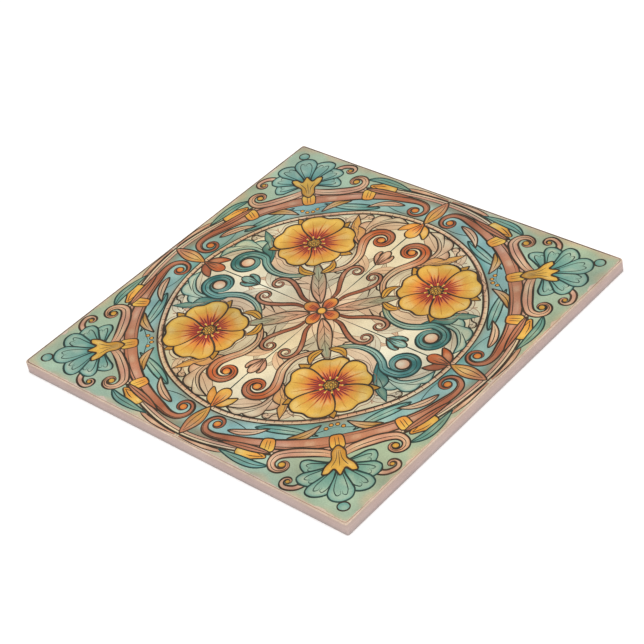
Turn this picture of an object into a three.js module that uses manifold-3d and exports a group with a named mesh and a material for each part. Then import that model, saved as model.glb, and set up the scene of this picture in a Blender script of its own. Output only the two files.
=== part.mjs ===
// A square ceramic wall tile: one body, dry-pressed and fired, glazed on its face.
// The frame is in millimetres, +Z up, with the origin at the middle of the back.
// The tile lies on its back: +Y is the top edge of the pattern, +X its right-hand edge.
import * as THREE from 'three';
import Module from 'manifold-3d';

// Outer size of the tile
const TILE_SIDE = 200;
const TILE_THICKNESS = 6.4;
const CORNER_RADIUS = 1.2;
const CORNER_STEPS = 5;

// Where the glazed face rolls over into the sides
const SHOULDER_RADIUS = 0.4;
const SHOULDER_STEPS = 4;

// The small slope round the foot of the sides, where the press die opens
const FOOT_INSET = 0.2;
const FOOT_HEIGHT = 0.3;

// The key pattern that the bedding mortar grips: shallow square pockets between ribs
const BACK_RIM = 7;
const KEY_POCKET = 13.5;
const KEY_RIB = 3;
const KEY_DEPTH = 0.8;
const KEY_DRAFT = 0.5;

// How far a cutting solid reaches past the face it cuts
const CUT_OVERRUN = 1;

const wasm = await Module();
wasm.setup();

// One level outline of a solid: a square with round corners, seen from above, anticlockwise
function squareRing(side, cornerRadius, steps, z) {
  const ring = [];
  const reach = side / 2 - cornerRadius;
  for (let corner = 0; corner < 4; corner++) {
    const start = (corner * Math.PI) / 2;
    const middle = new THREE.Vector2(reach, reach).rotateAround(new THREE.Vector2(), start);
    for (let step = 0; step <= steps; step++) {
      const angle = start + (step / Math.max(steps, 1)) * (Math.PI / 2);
      ring.push([
        middle.x + cornerRadius * Math.cos(angle),
        middle.y + cornerRadius * Math.sin(angle),
        z,
      ]);
    }
  }
  return ring;
}

// A closed solid through level rings that have equal numbers of points, lowest ring first
function loft(rings) {
  const count = rings[0].length;
  const points = rings.flat();
  const triangles = [];
  for (let level = 0; level + 1 < rings.length; level++) {
    for (let i = 0; i < count; i++) {
      const here = level * count + i;
      const next = level * count + ((i + 1) % count);
      triangles.push(here, next, next + count, here, next + count, here + count);
    }
  }
  const topStart = (rings.length - 1) * count;
  for (let i = 1; i + 1 < count; i++) {
    triangles.push(0, i + 1, i);
    triangles.push(topStart, topStart + i, topStart + i + 1);
  }
  return new wasm.Manifold(
    new wasm.Mesh({
      numProp: 3,
      vertProperties: new Float32Array(points.flat()),
      triVerts: new Uint32Array(triangles),
    }),
  );
}

// The pressed body with its rolled shoulder and sloped foot, before the back is keyed
function pressedBody() {
  const rings = [
    squareRing(TILE_SIDE - 2 * FOOT_INSET, CORNER_RADIUS - FOOT_INSET, CORNER_STEPS, 0),
    squareRing(TILE_SIDE, CORNER_RADIUS, CORNER_STEPS, FOOT_HEIGHT),
  ];
  for (let step = 0; step <= SHOULDER_STEPS; step++) {
    const angle = (step / SHOULDER_STEPS) * (Math.PI / 2);
    const inset = SHOULDER_RADIUS * (1 - Math.cos(angle));
    const height = TILE_THICKNESS - SHOULDER_RADIUS * (1 - Math.sin(angle));
    rings.push(squareRing(TILE_SIDE - 2 * inset, CORNER_RADIUS - inset, CORNER_STEPS, height));
  }
  return loft(rings);
}

// One key pocket, centred on the origin: a square that narrows towards its floor
function keyPocket() {
  const slope = KEY_DRAFT / KEY_DEPTH;
  const mouth = KEY_POCKET + 2 * slope * CUT_OVERRUN;
  const floor = KEY_POCKET - 2 * KEY_DRAFT;
  return loft([
    squareRing(mouth, 0, 0, -CUT_OVERRUN),
    squareRing(floor, 0, 0, KEY_DEPTH),
  ]);
}

// As many rows of pockets as fit inside the flat rim of the back
function keyPattern() {
  const pitch = KEY_POCKET + KEY_RIB;
  const room = TILE_SIDE - 2 * BACK_RIM;
  const rows = Math.floor((room + KEY_RIB) / pitch);
  const first = (-(rows - 1) * pitch) / 2;
  const pocket = keyPocket();
  const pockets = [];
  for (let column = 0; column < rows; column++) {
    for (let row = 0; row < rows; row++) {
      pockets.push(pocket.translate([first + column * pitch, first + row * pitch, 0]));
    }
  }
  return wasm.Manifold.union(pockets);
}

// A solid's triangles as a three.js geometry
function geometryOf(solid) {
  const mesh = solid.getMesh();
  const geometry = new THREE.BufferGeometry();
  geometry.setAttribute('position', new THREE.BufferAttribute(mesh.vertProperties, 3));
  geometry.setIndex(new THREE.BufferAttribute(mesh.triVerts, 1));
  geometry.computeVertexNormals();
  return geometry;
}

const glazedCeramic = new THREE.MeshStandardMaterial({
  color: 0xd9bfa6,
  roughness: 0.25,
  metalness: 0,
});

const tile = new THREE.Mesh(geometryOf(pressedBody().subtract(keyPattern())), glazedCeramic);
tile.name = 'tile';

const root = new THREE.Group();
root.add(tile);

export default root;
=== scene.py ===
import math

import bpy
import numpy as np
from mathutils import Matrix, Vector
from mathutils.geometry import delaunay_2d_cdt


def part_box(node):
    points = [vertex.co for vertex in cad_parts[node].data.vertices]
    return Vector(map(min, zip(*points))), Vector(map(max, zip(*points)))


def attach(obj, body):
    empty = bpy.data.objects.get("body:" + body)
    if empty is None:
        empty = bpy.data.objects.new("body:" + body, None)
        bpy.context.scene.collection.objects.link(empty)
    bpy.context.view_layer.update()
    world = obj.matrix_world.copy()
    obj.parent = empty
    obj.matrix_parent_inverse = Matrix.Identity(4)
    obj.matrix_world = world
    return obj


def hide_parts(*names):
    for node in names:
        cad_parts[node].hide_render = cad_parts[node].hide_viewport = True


# The tile lies on its back, its printed face up, in metres. The drawing on the face is in millimetres,
# with zero at the middle of the tile.
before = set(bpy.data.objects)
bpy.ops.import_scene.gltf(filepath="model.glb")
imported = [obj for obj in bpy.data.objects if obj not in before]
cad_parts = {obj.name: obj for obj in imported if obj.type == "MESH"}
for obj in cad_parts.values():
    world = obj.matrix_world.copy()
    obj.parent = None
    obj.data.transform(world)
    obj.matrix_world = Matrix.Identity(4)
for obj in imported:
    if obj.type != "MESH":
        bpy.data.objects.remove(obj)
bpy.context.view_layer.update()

MM = 0.001
TILE_LOW, TILE_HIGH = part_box("tile")
TILE_SIDE = TILE_HIGH.x - TILE_LOW.x
TILE_THICKNESS = TILE_HIGH.z - TILE_LOW.z

# The pressed body, with two opposite corners more worn than the others
CORNER_RADIUS = 0.9 * MM
WORN_CORNER_RADIUS = 2.0 * MM
SHOULDER_RADIUS = 0.4 * MM
FOOT_RADIUS = 0.25 * MM
KEY_ROWS = 11
KEY_POCKET = 13.5 * MM
KEY_RIB = 3.0 * MM
# Each step of a key pocket, from its mouth to its floor: how far it narrows and how far it sinks
KEY_STEPS = ((0.15 * MM, 0.06 * MM), (0.28 * MM, 0.60 * MM), (0.15 * MM, 0.12 * MM))

# Where the printed face meets the body: points closer than the first are made one, and what is left
# thinner than the second is taken out
JOINING_DISTANCE = 0.004 * MM
LEAST_WIDTH = 0.0005 * MM

# The angle in degrees from which an edge is shaded sharp
SHARP_ANGLE = 40

# What belongs to the back: it is lower than this, and lies this far inside the sides or faces down
BACK_HEIGHT = 1.0 * MM
BACK_INSET = 5 * MM

# The shares of the map that the face with its sides and the back take up, the gap between them, and
# how far the foot is stretched
MAP_FACE = 0.80
MAP_BACK = 0.18
MAP_GAP = 0.005
FOOT_STRETCH = 3

# The tones of the biscuit, each with its height as a share of the thickness. The sides are darker at the
# foot: painted shade where the tile meets the floor.
SIDE_TONES_SHADED_AT_FOOT = (
    (0.0, (0.44, 0.37, 0.355, 1)),
    (0.4, (0.60, 0.455, 0.42, 1)),
    (1.0, (0.60, 0.445, 0.38, 1)),
)
# On the back the ribs are lighter with kiln wash, and the sunk pockets darker with painted shade
BACK_TONES_WASHED_AND_SHADED = (
    (0.0, (0.56, 0.45, 0.40, 1)),
    (0.12, (0.44, 0.33, 0.30, 1)),
    (1.0, (0.44, 0.33, 0.30, 1)),
)

# Where the colour of the ground stops, and the line round the print, in from the edge, in millimetres
PRINT_MARGIN = 1.25
EDGE_LINE_MARGIN = 0.78
FACE_HALF = TILE_SIDE / MM / 2
PRINT_HALF = FACE_HALF - PRINT_MARGIN

# The inner and outer radii of the round band's parts, from the middle outwards
INNER_MOULDING = (75.2, 77.8)
BLUE_BELT = (77.5, 93.6)
OUTER_MOULDING = (93.4, 96.8)

# The camera, worked out from the tile's outline in the picture: its aim and distance in tile sides
CAMERA_AIM = (0.0278, -0.0315)
CAMERA_DISTANCE = 4.2388
CAMERA_AZIMUTH = 48.34
CAMERA_ELEVATION = 38.35
CAMERA_ROLL = -11.76
PICTURE_SIZE = 644
FOCAL_PIXELS = 1840.4
SENSOR_WIDTH = 36.0

# The studio: each soft light's name, place, width and power, then the floor and the light all round
SOFTBOXES = (
    ("overhead", (0.1, -0.1, 1.6), 1.6, 21.0),
    ("camera_side", (1.45, -1.05, 0.9), 1.2, 8.0),
)
FLOOR_WIDTH = 6.0
FLOOR_GAP = 0.02 * MM
SURROUNDING_LIGHT = 0.38

# The palette of the print, as 8-bit screen colours
PALETTE = {
    "ink": (42, 33, 21),
    "ink_soft": (96, 70, 48),
    "ink_green": (32, 47, 40),
    "sepia": (150, 112, 84),
    "shade": (146, 131, 105),
    "cream": (216, 200, 163),
    "cream_light": (225, 213, 180),
    "cream_green": (192, 196, 164),
    "peach": (206, 152, 116),
    "peach_pale": (217, 184, 148),
    "rose": (190, 138, 114),
    "rust": (164, 92, 60),
    "rust_dark": (110, 54, 31),
    "rust_light": (186, 126, 94),
    "sky": (126, 164, 157),
    "sky_light": (160, 188, 175),
    "teal": (98, 149, 138),
    "teal_dark": (50, 105, 99),
    "teal_pale": (158, 181, 158),
    "sage": (138, 155, 124),
    "gold": (212, 158, 64),
    "gold_light": (224, 180, 80),
    "gold_deep": (186, 130, 42),
    "amber": (218, 142, 56),
    "orange": (204, 98, 42),
    "red": (178, 56, 32),
    "crimson": (112, 34, 38),
    "ground": (161, 184, 157),
    "ground_warm": (201, 182, 148),
    "bare_glaze": (207, 184, 163),
}

# How much the firing changed the red, green and blue of the print over the face, and its strength
WARMTH_DRIFT = np.array((0.035, 0.005, -0.045))
STRENGTH_DRIFT = 0.035

# How much of the cream shows through where a wash is at its thinnest
THIN_WASH = 0.30

# How far the hand may stray from the plan
HAND_DRIFT = 0.5

# How far apart the points of a drawn curve lie, and how far thinning may move it
CURVE_STEP = 0.45
THINNING = 0.035

# How far apart the points lie that carry a wash across a shape, and how close two may come
WASH_SPACING = 1.5
LEAST_SPACING = 2e-3

# How far to each side of an outline the print is compared
LOOK_ASIDE = 0.03

# Half the width of the pen's lines
OUTLINE_PEN = 0.44
DETAIL_PEN = 0.35
FINE_PEN = 0.20

# The side of a line that the pen's broad nib makes thick
NIB_COURSE = (0.55, 0.835)

# The four quarters of the face that a motif is mirrored into
QUARTERS = ((1, 1), (-1, 1), (-1, -1), (1, -1))
RIGHT_AND_LEFT = ((1, 1), (-1, 1))
TOP_AND_BOTTOM = ((1, 1), (1, -1))
ONCE = ((1, 1),)


# Places and curves
def tint(name):
    """A colour of the palette, as shares of full red, green and blue."""
    return np.array(PALETTE[name], float) / 255


def smooth(value):
    """A share from 0 to 1 that leaves and reaches its ends gently."""
    value = np.clip(value, 0, 1)
    return value * value * (3 - 2 * value)


def polar(radius, degrees):
    """A point by its distance and direction from the middle of the tile."""
    angle = math.radians(degrees)
    return radius * math.cos(angle), radius * math.sin(angle)


def placed(points, at, degrees):
    """Points drawn about zero, turned and moved to their place."""
    c, s = math.cos(math.radians(degrees)), math.sin(math.radians(degrees))
    return np.asarray(points, float) @ np.array(((c, s), (-s, c))) + np.asarray(at, float)


def as_drawn(points):
    """Points for the axis of a quarter that runs to the right."""
    return [tuple(point) for point in points]


def swapped(points):
    """The same points for the other axis of a quarter."""
    return [(y, x) for x, y in points]


def both_halves(half):
    """A whole shape from its upper half, whose first and last points lie on the line of symmetry."""
    return half + [(x, -y) for x, y in reversed(half[1:-1])]


def spline(points, closed=False):
    """A smooth curve through a few points."""
    points = np.asarray(points, float)
    if closed:
        knots = np.vstack((points[-1], points, points[0], points[1]))
    else:
        knots = np.vstack((2 * points[0] - points[1], points, 2 * points[-1] - points[-2]))
    chords = np.maximum(np.linalg.norm(np.diff(knots, axis=0), axis=1), 1e-6)
    times = np.concatenate(((0,), np.cumsum(np.sqrt(chords))))
    pieces = []
    for i in range(1, len(knots) - 2):
        p0, p1, p2, p3 = knots[i - 1 : i + 3]
        t0, t1, t2, t3 = times[i - 1 : i + 3]
        straight = (p2 - p1) / (t2 - t1)
        leave = (t2 - t1) * ((p1 - p0) / (t1 - t0) - (p2 - p0) / (t2 - t0) + straight)
        reach = (t2 - t1) * (straight - (p3 - p1) / (t3 - t1) + (p3 - p2) / (t3 - t2))
        count = max(2, math.ceil(chords[i] / CURVE_STEP))
        s = np.linspace(0, 1, count, endpoint=False)[:, None]
        pieces.append(
            (2 * s**3 - 3 * s**2 + 1) * p1
            + (s**3 - 2 * s**2 + s) * leave
            + (3 * s**2 - 2 * s**3) * p2
            + (s**3 - s**2) * reach
        )
    if not closed:
        pieces.append(points[-1:])
    return np.vstack(pieces)


def arc(centre, radius, start, end):
    """Points on an arc, angles in degrees."""
    count = max(3, math.ceil(abs(math.radians(end - start)) * radius / CURVE_STEP))
    angles = np.radians(np.linspace(start, end, count))
    return np.asarray(centre, float) + radius * np.column_stack((np.cos(angles), np.sin(angles)))


def spiral(centre, outer, inner, start, turn):
    """A few points on a spiral that closes from its outer to its inner radius."""
    share = np.linspace(0, 1, max(4, math.ceil(abs(turn) / 40)))
    angles = np.radians(start + turn * share)
    radii = outer * (inner / outer) ** share
    away = radii[:, None] * np.column_stack((np.cos(angles), np.sin(angles)))
    return as_drawn(np.asarray(centre, float) + away)


def quarter_ring(inner, outer):
    """The outline of a quarter of a ring round the middle of the tile."""
    return np.vstack((arc((0, 0), outer, 0, 90), arc((0, 0), inner, 90, 0)))


def band_path(radii, start, end):
    """Points that run round the middle of the tile at changing radii."""
    return [polar(radius, angle) for radius, angle in zip(radii, np.linspace(start, end, len(radii)))]


def sideways(line, closed=False):
    """Unit vectors to the left of a line's course."""
    if closed:
        course = np.roll(line, -1, axis=0) - np.roll(line, 1, axis=0)
    else:
        course = np.gradient(line, axis=0)
    course = course / np.maximum(np.linalg.norm(course, axis=1), 1e-9)[:, None]
    return np.column_stack((-course[:, 1], course[:, 0]))


def swell(count, *widths):
    """Widths that pass smoothly through the ones given, from one end of a line to the other."""
    knots = np.linspace(0, 1, len(widths))
    place = np.linspace(0, 1, count)
    index = np.clip(np.searchsorted(knots, place, side="right") - 1, 0, len(widths) - 2)
    share = smooth((place - knots[index]) / (knots[index + 1] - knots[index]))
    widths = np.asarray(widths, float)
    return widths[index] * (1 - share) + widths[index + 1] * share


def band(line, half_widths, closed=False):
    """The outline of a band that follows a line."""
    side = sideways(line, closed) * np.asarray(half_widths, float).reshape(-1, 1)
    left, right = line + side, line - side
    if closed:
        return np.vstack((left, left[:1], right[:1], right[::-1]))
    return np.vstack((left, right[::-1]))


def wander(points, scale, seed):
    """A slow change from -1 to 1 over the face, the same each run."""
    x, y = points[:, 0] / scale, points[:, 1] / scale
    across = np.sin(x * 1.7 + seed + 1.3 * np.sin(y * 1.1 + seed * 2.1))
    along_it = np.sin(y * 1.9 - seed * 1.7 + 1.1 * np.sin(x * 1.3 - seed))
    return (across + along_it) / 2


def drift(points):
    """How far the hand strayed from the plan at each point, so that no two quarters are quite alike."""
    return HAND_DRIFT * np.column_stack((wander(points, 17, 0.7), wander(points, 19, 3.9)))


# Washes: each gives the colours at some points of a shape with a known outline
def blend(first, second, share):
    """Two colours mixed, with a share of the second at each point."""
    return first + (second - first) * share[:, None]


def plain(name):
    """One colour all over."""

    def wash(points, outline):
        return np.tile(tint(name), (len(points), 1))

    return wash


def fade(first, second, start, end):
    """One colour turning into another between two places."""
    start = np.asarray(start, float)
    run = np.asarray(end, float) - start

    def wash(points, outline):
        return blend(tint(first), tint(second), smooth((points - start) @ run / (run @ run)))

    return wash


def mottled(first, second, least, most, size, seed):
    """Two colours that wander into each other."""

    def wash(points, outline):
        share = least + (most - least) * (0.5 + 0.5 * wander(points, size, seed))
        return blend(tint(first), tint(second), share)

    return wash


def rings(centre, *stops):
    """Colours by distance from a centre, as pairs of a radius and a colour."""
    radii = np.array([radius for radius, _ in stops], float)
    colours = np.array([tint(name) for _, name in stops])

    def wash(points, outline):
        distance = np.linalg.norm(points - np.asarray(centre, float), axis=1)
        return np.column_stack([np.interp(distance, radii, colours[:, i]) for i in range(3)])

    return wash


def along(line, names):
    """Colours that change from one end of a line to the other."""
    colours = np.array([tint(name) for name in names])
    knots = np.linspace(0, 1, len(names))

    def wash(points, outline):
        nearest = ((points[:, None, :] - line[None]) ** 2).sum(axis=2).argmin(axis=1)
        place = nearest / (len(line) - 1)
        return np.column_stack([np.interp(place, knots, colours[:, i]) for i in range(3)])

    return wash


def edge_distance(points, outline):
    """How far each point is from an outline."""
    run = np.roll(outline, -1, axis=0) - outline
    length = np.maximum((run**2).sum(axis=1), 1e-12)
    best = np.zeros(len(points))
    for first in range(0, len(points), 2000):
        away = points[first : first + 2000, None, :] - outline[None]
        share = np.clip((away * run[None]).sum(axis=2) / length, 0, 1)
        gap = away - share[..., None] * run[None]
        best[first : first + 2000] = np.sqrt((gap**2).sum(axis=2).min(axis=1))
    return best


def pooled(wash, name, reach=1.8, depth=0.55):
    """A wash that has run darker along its outline and thin in patches, as watercolour does."""

    def uneven(points, outline):
        inward = smooth(edge_distance(points, outline) / reach)
        thin = THIN_WASH * inward * smooth((wander(points, 3.4, 11.0) + 0.1) / 0.8)
        pale = blend(wash(points, outline), tint("cream_light"), thin)
        return blend(pale, tint(name), depth * (1 - inward))

    return uneven


def pooled_fade(path, first, second, name, reach=1.8, depth=0.55):
    """A pooled wash that turns from one colour into another between the two ends of a path."""
    return pooled(fade(first, second, path[0], path[-1]), name, reach, depth)


INK = mottled("ink", "ink_soft", 0.0, 0.6, 7, 2.0)
GREEN_INK = mottled("ink_green", "teal_dark", 0.0, 0.4, 6, 1.0)
SEPIA_INK = mottled("sepia", "ink_soft", 0.0, 0.8, 8, 5.0)


class Print:
    """The artwork, as a list of outlines with their washes, the lowest first."""

    def __init__(self):
        self.parts = []

    def colour(self, outline, wash, quarters=QUARTERS):
        """A flat shape with no line round it."""
        for quarter in quarters:
            mirrored = np.asarray(outline, float) * quarter
            self.parts.append((thinned(mirrored + drift(mirrored)), wash, np.array(quarter)))

    def exact(self, outline, wash):
        """A flat shape that keeps its place, once."""
        self.parts.append((thinned(outline), wash, np.array((1, 1))))

    def line(self, line, pen=OUTLINE_PEN, ink=INK, quarters=QUARTERS, start=0.3, end=0.3, closed=False):
        """A pen line, thinner towards its ends."""
        line = np.asarray(line, float)
        swelling = 1 if closed else swell(len(line), start, 1.0, 1.06, 1.0, end)
        nib = np.abs(sideways(line, closed) @ NIB_COURSE)
        half = pen * swelling * (0.76 + 0.42 * nib + 0.12 * wander(line, 5, 1.0))
        self.colour(band(line, half, closed), ink, quarters)

    def form(self, outline, wash, pen=OUTLINE_PEN, ink=INK, quarters=QUARTERS):
        """A closed shape, washed and outlined."""
        self.colour(outline, wash, quarters)
        self.line(outline, pen, ink, quarters, closed=True)


# Motifs that several parts of the artwork use
def ribbon(art, path, widths, names, shade, pen=OUTLINE_PEN, folds=(0.35, -0.3), ink=INK):
    """A band with inked edges and fold lines that follows a path; its colours change along it."""
    line = spline(path)
    half = swell(len(line), *widths) / 2
    side = sideways(line) * half[:, None]
    art.colour(band(line, half), pooled(along(line, names), shade, float(half.max()) * 0.9, 0.5))
    for fold in folds:
        art.line((line + side * fold)[2:-2], FINE_PEN, ink, start=0.2, end=0.2)
    art.line(line + side, pen, ink)
    art.line(line - side, pen, ink)


def disc(art, centre, radius, wash, pen=DETAIL_PEN, quarters=QUARTERS):
    """A washed circle with a line round it."""
    art.form(arc(centre, radius, 0, 360)[:-1], wash, pen, quarters=quarters)


def leaf(art, path, width, wash, veins=0, pen=DETAIL_PEN, ink=INK, quarters=QUARTERS):
    """A pointed leaf along a path, with its rib and veins."""
    line = spline(path)
    count = len(line)
    half = width / 2 * np.maximum(np.sin(np.pi * np.linspace(0, 1, count) ** 0.8), 0) ** 0.85 + 0.02
    side = sideways(line) * half[:, None]
    art.form(band(line, half), wash, pen, ink, quarters)
    art.line(line[: int(count * 0.82)], FINE_PEN, ink, quarters, start=1.0, end=0.2)
    for i in range(veins):
        root = int(count * (0.16 + 0.5 * i / veins))
        tip = min(root + int(count * 0.17), count - 1)
        for way in (1, -1):
            end = line[tip] + way * side[tip] * 0.72
            middle = (line[root] + end) / 2 + (line[tip] - line[root]) * 0.06
            art.line(spline((line[root], middle, end)), FINE_PEN * 0.8, ink, start=0.8, end=0.2)


def frond(art, path, width, lobes, way, wash, ink=INK):
    """A scroll leaf with one lobed side, each lobe creased towards the stem."""
    line = spline(path)
    count = len(line)
    place = np.linspace(0, 1, count)
    belly = width * np.maximum(np.sin(np.pi * place**0.8), 0) ** 0.8 + 0.05
    lobed = belly * (0.50 + 0.50 * np.abs(np.sin(lobes * np.pi * place)) ** 0.75)
    left = sideways(line) * way
    outline = np.vstack((line + left * lobed[:, None], (line - left * (belly * 0.3)[:, None])[::-1]))
    art.form(outline, wash, DETAIL_PEN, ink)
    art.line(line[3 : int(count * 0.9)], FINE_PEN, ink, start=0.3, end=0.2)
    for k in range(1, lobes):
        notch = round(k / lobes * (count - 1))
        root = max(round((k - 0.75) / lobes * (count - 1)), 1)
        start = line[notch] + left[notch] * lobed[notch]
        end = line[root] + left[root] * belly[root] * 0.12
        middle = (start + end) / 2 - (line[notch] - line[root]) * 0.10
        art.line(spline((start, middle, end)), FINE_PEN, ink, start=1.0, end=0.15)


def bud(art, base, tip, width, wash, quarters=QUARTERS):
    """A bud: round at its tip, narrow at its base, with two creases."""
    base = np.asarray(base, float)
    run = np.asarray(tip, float) - base
    length = float(np.linalg.norm(run))
    heading = math.degrees(math.atan2(run[1], run[0]))
    right = [(0, 0.06), (0.25, 0.26), (0.55, 0.47), (0.80, 0.46), (0.96, 0.24), (1.0, 0)]
    shape = right + [(u, -v) for u, v in reversed(right[:-1])]
    outline = placed([(u * length, v * width) for u, v in shape], base, heading)
    art.form(spline(outline, closed=True), wash, DETAIL_PEN, quarters=quarters)
    for v, reach in ((0.16, 0.72), (-0.14, 0.6)):
        crease = [(0.08 * length, 0), (0.4 * length, v * width), (reach * length, v * width * 1.1)]
        art.line(spline(placed(crease, base, heading)), FINE_PEN, quarters=quarters, start=0.8, end=0.15)


def curl(art, path, pen=DETAIL_PEN, ink=INK):
    """A thin line that ends in a hook or a spiral."""
    art.line(spline(path), pen, ink, start=0.5, end=0.4)


# The ground and the medallion
def square_path(half, corner):
    """Points round a square with round corners, anticlockwise."""
    reach = half - corner
    middles = (reach, reach, 0), (-reach, reach, 90), (-reach, -reach, 180), (reach, -reach, 270)
    turns = [arc((x, y), corner, start, start + 90) for x, y, start in middles]
    steps = np.linspace(0, 1, 160, endpoint=False)[1:, None]
    path = []
    for turn, following in zip(turns, turns[1:] + turns[:1]):
        path += [turn, turn[-1] + (following[0] - turn[-1]) * steps]
    return np.vstack(path)


def draw_ground(art):
    """The printed square: pale green in the corners, warmer along the edges, with a ragged border."""

    def wash(points, outline):
        reach = np.abs(points).max(axis=1)
        share = np.abs(points).min(axis=1) / np.maximum(reach, 1e-6)
        green = smooth((share - 0.10 + 0.10 * wander(points, 7, 4.0)) / 0.30)
        rim = smooth((reach - 95.5 + 2.2 * wander(points, 5, 2.0)) / 4)
        dirt = 0.5 + 0.5 * wander(points, 11, 6.0)
        wet = blend(tint("ground_warm"), tint("ground"), green * (1 - 0.75 * rim))
        return blend(wet, tint("shade"), 0.26 * dirt * green)

    edge = square_path(PRINT_HALF, 1.0)
    ragged = 0.34 * wander(edge, 2.2, 1.0) + 0.26 * wander(edge, 0.8, 2.0)
    chipped = smooth((wander(edge, 4.5, 7.0) - 0.62) / 0.3)
    art.exact(edge + sideways(edge, closed=True) * (ragged + chipped)[:, None], wash)


def draw_edge_line_and_shade(art):
    """The pen line just inside the shoulder: faint all round, with painted shade that makes it dark and
    broad along the left and the top.
    """

    # Painted shade: how much the line is darkened and widened, most along the left and the top
    def strength(points):
        return smooth(0.5 + (points[:, 1] - points[:, 0]) / 40)

    def wash(points, outline):
        pale = blend(tint("sepia"), tint("rose"), 0.5 + 0.5 * wander(points, 9, 3.0))
        return blend(pale, tint("ink"), 0.9 * strength(points))

    path = square_path(FACE_HALF - EDGE_LINE_MARGIN, 1.8)
    half = 0.12 + 0.13 * strength(path) + 0.06 * wander(path, 6, 3.0)
    art.exact(band(path, half, closed=True), wash)


def draw_medallion(art):
    """The cream disc behind the flowers, with pale leaves washed in and barely lined."""
    stops = (
        (0, "peach"), (10, "peach_pale"), (22, "cream"), (40, "cream_light"), (62, "cream_light"),
        (72, "cream"), (77, "cream_green"),
    )
    art.colour(quarter_ring(0.01, 76.5), rings((0, 0), *stops))
    warm = mottled("cream", "peach", 0.30, 0.65, 8, 3.0)
    cool = mottled("cream_light", "shade", 0.15, 0.50, 8, 5.0)
    for path, width, first, second in (
        (((10, 10), (22, 12), (33, 8), (44, 3)), 9, warm, cool),
        (((33, 1), (38, 6), (41, 12), (39, 19)), 5, cool, warm),
        (((24, 16), (40, 15), (52, 24), (62, 38)), 10, warm, cool),
        (((62, 20), (66, 14), (70, 8), (73, 3)), 7, cool, warm),
        (((56, 34), (62, 34), (66, 30), (68, 22)), 5, cool, warm),
    ):
        for turned, wash in ((as_drawn, first), (swapped, second)):
            line = spline(turned(path))
            half = width / 2 * np.sin(np.pi * np.linspace(0, 1, len(line)) ** 0.8) + 0.02
            art.form(band(line, half), wash, FINE_PEN * 0.7, SEPIA_INK)
            art.line(line[2:-4], FINE_PEN * 0.6, SEPIA_INK)


# The round band
def draw_band(art):
    """Cream outer moulding, blue belt, peach inner moulding with pen ticks."""

    def moulding(first, second, inner, outer):
        def wash(points, outline):
            distance = np.linalg.norm(points, axis=1)
            return blend(tint(first), tint(second), smooth((outer - distance) / (outer - inner)))

        art.colour(quarter_ring(inner, outer), wash)

    def belt(points, outline):
        distance = np.linalg.norm(points, axis=1)
        middle = 1 - np.abs(distance - 84.5 + 1.6 * wander(points, 8, 2.0)) / 8
        pale = blend(tint("sky"), tint("sky_light"), 0.5 + 0.5 * wander(points, 6, 1.0))
        edge = blend(tint("teal"), tint("shade"), smooth(0.6 + 0.6 * wander(points, 10, 5.0)))
        return blend(edge, pale, smooth(0.05 + 1.3 * middle))

    moulding("cream", "rose", *OUTER_MOULDING)
    art.colour(quarter_ring(*BLUE_BELT), belt)
    moulding("cream", "peach", *INNER_MOULDING)
    for angle in np.arange(1.5, 90, 3.0):
        art.line([polar(r, angle) for r in (75.4, 76.2, 77.0)], FINE_PEN * 0.8, start=1.0, end=0.5)
    for radius, pen in (
        (OUTER_MOULDING[1], OUTLINE_PEN), (95.2, FINE_PEN), (93.5, FINE_PEN),
        (77.7, DETAIL_PEN), (INNER_MOULDING[0], OUTLINE_PEN),
    ):
        art.line(arc((0, 0), radius, -0.3, 90.3), pen, start=1.0, end=1.0)


def draw_side_ribbons(art):
    """A slim ribbon on either side of each axis, where the round band comes near the tile's edge."""
    path = ((1.2, 97.75), (8, 97.7), (15, 97.3), (21, 96.4), (27, 95.0))
    widths = (0.8, 1.3, 1.9, 2.4, 2.0, 0.6)
    names = ("rose", "peach_pale", "rust_light")
    for turned in (as_drawn, swapped):
        ribbon(art, turned(path), widths, names, "rust_light", FINE_PEN * 1.4, folds=())


def draw_belt_leaves(art):
    """Lance leaves and flowing lines along the blue belt, golden leaves by the clasps, and berries."""
    for turned in (as_drawn, swapped):
        for radii, start, end in (((87.4, 86.6, 84.4, 81.9), 26, 45.3), ((79.2, 79.5, 81.4, 85.2), 8, 20)):
            art.line(spline(turned(band_path(radii, start, end))), FINE_PEN, GREEN_INK)
        low = turned(band_path((80.6, 80.7, 82.4, 86.0), 20, 40))
        high = turned(band_path((85.4, 85.0, 83.6, 80.8), 12, 25))
        gold = turned(band_path((86.8, 86.2, 83.6, 79.6), 31, 41))
        leaf(art, low, 4.8, pooled_fade(low, "teal", "teal_pale", "teal", 1.5, 0.5), ink=GREEN_INK)
        leaf(art, high, 3.8, pooled_fade(high, "peach", "cream", "rust_light", 1.5, 0.5))
        leaf(art, gold, 4.4, pooled_fade(gold, "gold_deep", "peach_pale", "sepia", 1.5, 0.6))
        for radius, angle in ((80.4, 44.0), (82.2, 42.4)):
            berry = turned([polar(radius, angle)])[0]
            disc(art, berry, 0.95, rings(berry, (0, "gold_light"), (1.1, "amber")), FINE_PEN)


def draw_rust_ribbon(art):
    """The rust ribbon round the belt: each end curls into a volute beside an axis."""
    middle = polar(83.6, 7.4)
    path = [polar(90.3, angle) for angle in (45.5, 38, 31, 24, 18, 13)] + spiral(middle, 7.0, 1.5, 20, -500)
    names = ("rust_light", "rust_light", "rose", "rust_light", "rust", "rust_light", "rust", "rust_dark")
    for turned in (as_drawn, swapped):
        ribbon(art, turned(path), (6.2, 6.2, 5.8, 4.9, 3.3, 1.9, 0.5), names, "rust", folds=(-0.5,))
        eye = turned([middle])[0]
        disc(art, eye, 1.9, rings(eye, (0, "gold"), (2, "orange")))


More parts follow.
